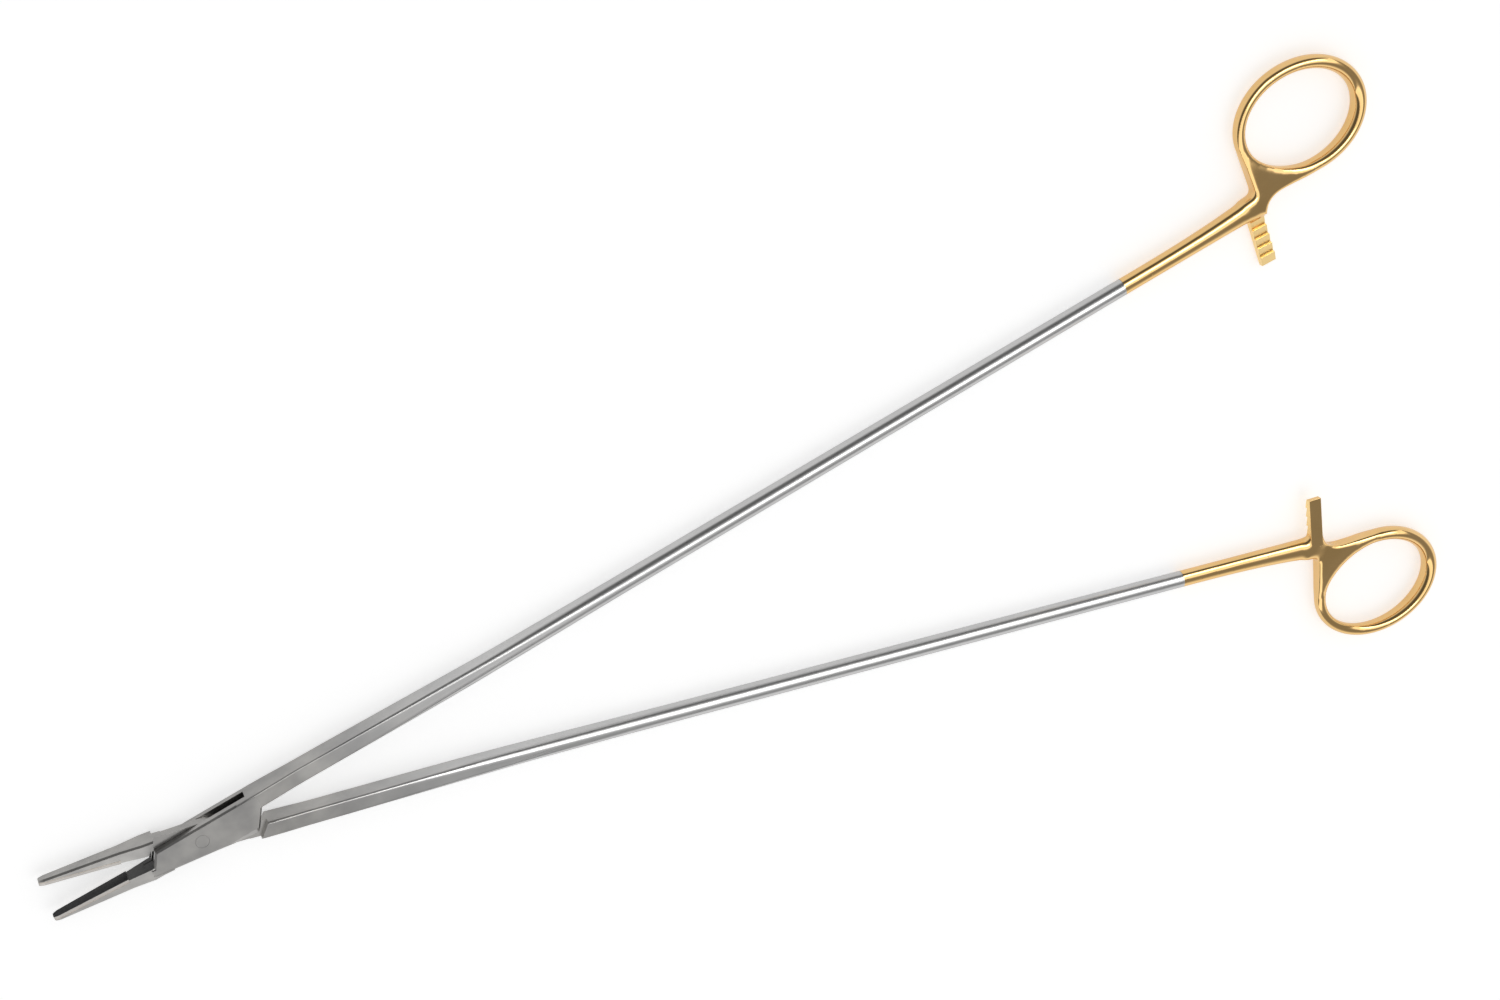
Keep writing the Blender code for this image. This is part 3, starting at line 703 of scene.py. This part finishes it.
def forged_steel():
    """Satin and warm on the box and jaws, in a darker tone that partly paints the shade they mirror,
    polished and cooler along the shanks, with a lengthwise grain.
    """
    material, tree, shader = new_material("forged_steel", 1, SATIN_ROUGH[0])
    tone = noise(tree, BLOTCH_SCALE, EVEN, BLOTCH_DETAIL)
    lines = noise(tree, STEEL_GRAIN, STEEL_GRAIN_STRETCH, GRAIN_DETAIL)
    satin_to_polish(
        tree, shader, ("Base Color", "Roughness"),
        (tint(tree, tone, *SATIN_AND_SHADE_COLOURS), spread(tree, lines, *SATIN_ROUGH)),
        (tint(tree, tone, *POLISHED_COLOURS), spread(tree, lines, *POLISHED_ROUGH)),
    )
    bump(tree, shader, lines, STEEL_GRAIN_DEPTH)
    return material


def seen_share(tree, *rays):
    """One for rays of the named kinds, and nothing for the others."""
    path = tree.nodes.new("ShaderNodeLightPath")
    total = path.outputs[rays[0]]
    for ray in rays[1:]:
        either = tree.nodes.new("ShaderNodeMath")
        either.operation = "MAXIMUM"
        tree.links.new(total, either.inputs[0])
        tree.links.new(path.outputs[ray], either.inputs[1])
        total = either.outputs["Value"]
    return total


def make_floor():
    """A white floor that keeps the shadow, lifted to white for what sees it straight or mirrored."""
    mesh = bpy.data.meshes.new("floor")
    half = FLOOR_HALF
    corners = [(-half, -half, 0), (half, -half, 0), (half, half, 0), (-half, half, 0)]
    mesh.from_pydata(corners, [], [range(len(corners))])
    floor = bpy.data.objects.new("floor", mesh)
    floor.location.z = FLOOR_Z
    bpy.context.scene.collection.objects.link(floor)
    material, tree, shader = new_material("white_floor", 0, FLOOR_ROUGH)
    shader.inputs["Base Color"].default_value = FLOOR_COLOUR
    shader.inputs["Specular IOR Level"].default_value = 0
    lift = tree.nodes.new("ShaderNodeMath")
    lift.operation = "MULTIPLY"
    lift.inputs[1].default_value = FLOOR_LIFT
    tree.links.new(seen_share(tree, "Is Camera Ray", "Is Glossy Ray", "Is Transmission Ray"), lift.inputs[0])
    shader.inputs["Emission Color"].default_value = WHITE
    tree.links.new(lift.outputs["Value"], shader.inputs["Emission Strength"])
    mesh.materials.append(material)


def studio_light(tree):
    """What the metal mirrors beside the strip lamp: walls that are dim at some leans and white at others."""
    coordinate = tree.nodes.new("ShaderNodeTexCoord")
    across = tree.nodes.new("ShaderNodeVectorMath")
    across.operation = "DOT_PRODUCT"
    across.inputs[1].default_value = STRIP_ACROSS
    tree.links.new(coordinate.outputs["Generated"], across.inputs[0])
    split = tree.nodes.new("ShaderNodeSeparateXYZ")
    tree.links.new(coordinate.outputs["Generated"], split.inputs["Vector"])
    lean = tree.nodes.new("ShaderNodeMath")
    lean.operation = "ARCTAN2"
    tree.links.new(across.outputs["Value"], lean.inputs[0])
    tree.links.new(split.outputs["Z"], lean.inputs[1])
    remap = tree.nodes.new("ShaderNodeMapRange")
    remap.inputs["From Min"].default_value = -math.pi / 2
    remap.inputs["From Max"].default_value = math.pi / 2
    tree.links.new(lean.outputs["Value"], remap.inputs["Value"])
    ramp = tree.nodes.new("ShaderNodeValToRGB")
    elements = ramp.color_ramp.elements
    while len(elements) < len(WALLS):
        elements.new(RAMP_MIDDLE)
    for element, (degrees, level) in zip(elements, WALLS):
        element.position = (degrees + RIGHT_ANGLE) / (2 * RIGHT_ANGLE)
        element.color = (level, level, level, 1)
    tree.links.new(remap.outputs["Result"], ramp.inputs["Fac"])
    light = tree.nodes.new("ShaderNodeBackground")
    tree.links.new(ramp.outputs["Color"], light.inputs["Color"])
    return light


def make_world():
    """White to the camera, an even light on the floor, and the studio for what the metal mirrors."""
    world = bpy.data.worlds.new("studio")
    bpy.context.scene.world = world
    world.use_nodes = True
    tree = world.node_tree
    tree.nodes.clear()
    even = tree.nodes.new("ShaderNodeBackground")
    even.inputs["Color"].default_value = WHITE
    even.inputs["Strength"].default_value = AMBIENT
    white = tree.nodes.new("ShaderNodeBackground")
    white.inputs["Color"].default_value = WHITE
    glossy = tree.nodes.new("ShaderNodeMixShader")
    tree.links.new(seen_share(tree, "Is Glossy Ray"), glossy.inputs["Fac"])
    tree.links.new(even.outputs["Background"], glossy.inputs[1])
    tree.links.new(studio_light(tree).outputs["Background"], glossy.inputs[2])
    seen = tree.nodes.new("ShaderNodeMixShader")
    tree.links.new(seen_share(tree, "Is Camera Ray", "Is Transmission Ray"), seen.inputs["Fac"])
    tree.links.new(glossy.outputs["Shader"], seen.inputs[1])
    tree.links.new(white.outputs["Background"], seen.inputs[2])
    output = tree.nodes.new("ShaderNodeOutputWorld")
    tree.links.new(seen.outputs["Shader"], output.inputs["Surface"])


def add_lamp(name, power, width, length):
    """A rectangular lamp that shines straight down until it is turned."""
    lamp = bpy.data.lights.new(name, "AREA")
    lamp.shape = "RECTANGLE"
    lamp.energy = power
    lamp.size = length
    lamp.size_y = width
    obj = bpy.data.objects.new(name, lamp)
    bpy.context.scene.collection.objects.link(obj)
    return obj


def make_lamps():
    """A weak soft lamp for the floor's shadow, and a strip overhead that only the metal mirrors."""
    key = add_lamp("key", KEY_POWER, KEY_SIZE, KEY_SIZE)
    key.location = KEY_PLACE
    aim = Vector(CAMERA_TARGET) - Vector(KEY_PLACE)
    key.rotation_euler = aim.to_track_quat("-Z", "Y").to_euler()
    key.visible_glossy = False
    first, last = (STRIP_HEIGHT * math.tan(math.radians(lean)) for lean in STRIP_LEANS)
    length = STRIP_REACH[1] - STRIP_REACH[0]
    power = STRIP_LEVEL * math.pi * (last - first) * length
    strip = add_lamp("strip", power, last - first, length)
    place = Vector(CAMERA_TARGET) + Vector(STRIP_ACROSS) * (first + last) / 2
    place += Vector(STRIP_ALONG) * sum(STRIP_REACH) / 2
    strip.location = (place.x, place.y, STRIP_HEIGHT)
    strip.rotation_euler.z = math.atan2(STRIP_ALONG[1], STRIP_ALONG[0])
    strip.visible_diffuse = False
    strip.visible_camera = False


def make_camera():
    """The camera that gives the photograph's view."""
    data = bpy.data.cameras.new("camera")
    data.lens = CAMERA_LENS
    data.sensor_width = CAMERA_SENSOR
    camera = bpy.data.objects.new("camera", data)
    aim = Vector(CAMERA_TARGET) - Vector(CAMERA_PLACE)
    turn = aim.to_track_quat("-Z", "Y").to_matrix().to_4x4() @ Matrix.Rotation(CAMERA_ROLL, 4, "Z")
    camera.matrix_world = Matrix.Translation(CAMERA_PLACE) @ turn
    bpy.context.scene.collection.objects.link(camera)
    bpy.context.scene.camera = camera


def dress(node, material):
    """Gives its finish to a CAD node that is shown as it is."""
    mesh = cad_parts[node].data
    mesh.materials.clear()
    mesh.materials.append(material)


def main():
    bpy.context.scene.view_settings.view_transform = "Standard"
    make_camera()
    make_floor()
    make_world()
    make_lamps()
    steel = forged_steel()
    # Near-black steel that paints the shade between the jaws
    grip_shade = metal("painted_shade_steel", GRIP_SHADE_STEEL)
    gold = metal("gold_plate", GOLD_PLATE)
    # Paler gold for the teeth: a painted sheen over their cut finish
    cut_gold_sheen = metal("cut_gold_sheen", CUT_GOLD_SHEEN)
    carbide = metal("carbide", CARBIDE)
    ground = metal("ground_carbide", GROUND_CARBIDE)
    braze = metal("braze", BRAZE)
    for half, side in (("box", 1), ("tongue", -1)):
        body = half + "_side"
        make_forging(half + "_half", side, steel, grip_shade, body)
        make_insert(half + "_jaw_insert", side, carbide, ground, body)
        dress(half + "_jaw_braze", braze)
    dress("pivot_pin", steel)
    make_handle("box_half_handle", 1, BOX_RATCHET, gold, cut_gold_sheen, "box_side")
    make_handle("tongue_half_handle", -1, TONGUE_RATCHET, gold, cut_gold_sheen, "tongue_side")


main()
